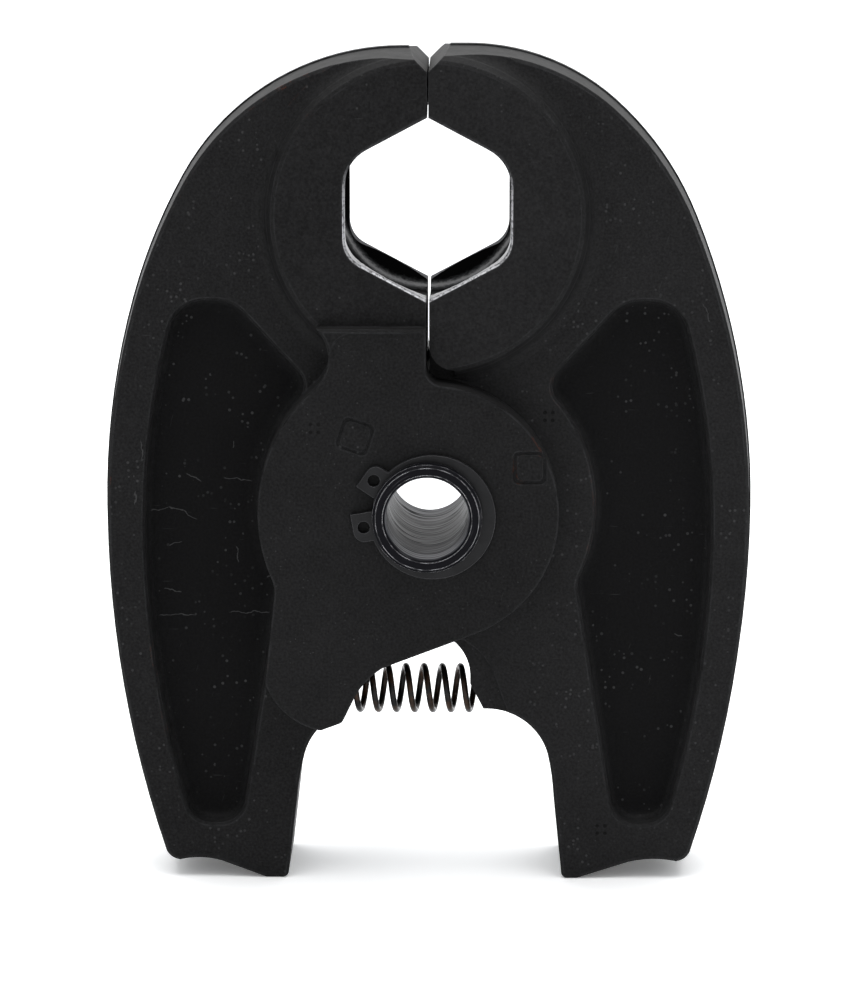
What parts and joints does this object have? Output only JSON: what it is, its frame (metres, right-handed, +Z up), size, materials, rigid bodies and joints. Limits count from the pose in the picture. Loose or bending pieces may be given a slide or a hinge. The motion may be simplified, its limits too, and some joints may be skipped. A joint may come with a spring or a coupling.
{
  "type": "press fitting tool jaw",
  "caption": "Compact two-half press jaw with a hex-shaped die opening, a hollow pivot sleeve and a return spring between its tails.",
  "frame": {"origin": "middle of the pivot sleeve's bore", "axes": "+Z up from the tails to the die, +X to the right seen from the front, -Y out of the front face along the bore"},
  "size_m": [0.0962, 0.0364, 0.1245],
  "materials": {
    "black_forging": "black phosphated forging",
    "sleeve_steel": "dark ground steel",
    "ring_steel": "satin phosphated spring steel",
    "spring_steel": "oiled spring wire"
  },
  "bodies": {
    "pivot": {"pivot_sleeve": "sleeve_steel", "front_retaining_ring": "ring_steel", "rear_retaining_ring": "ring_steel", "compression_spring": "spring_steel"},
    "left_jaw": {"left_half_jaw": "black_forging"},
    "right_jaw": {"right_half_jaw": "black_forging"}
  },
  "joints": [
    {"name": "right_jaw_swing", "type": "hinge", "parent": "pivot", "child": "right_jaw", "pos_m": [0, 0, 0], "axis": [0, 1, 0], "range_deg": [0, 14], "stiffness_Nm_per_rad": 4.4, "springref_deg": -5.73, "deforming": ["compression_spring"]},
    {"name": "left_jaw_swing", "type": "hinge", "parent": "pivot", "child": "left_jaw", "pos_m": [0, 0, 0], "axis": [0, -1, 0], "range_deg": [0, 14], "stiffness_Nm_per_rad": 4.4, "springref_deg": -5.73, "deforming": ["compression_spring"]}
  ],
  "couplings": [
    {"joint": "left_jaw_swing", "follows": "right_jaw_swing", "ratio": 1}
  ]
}
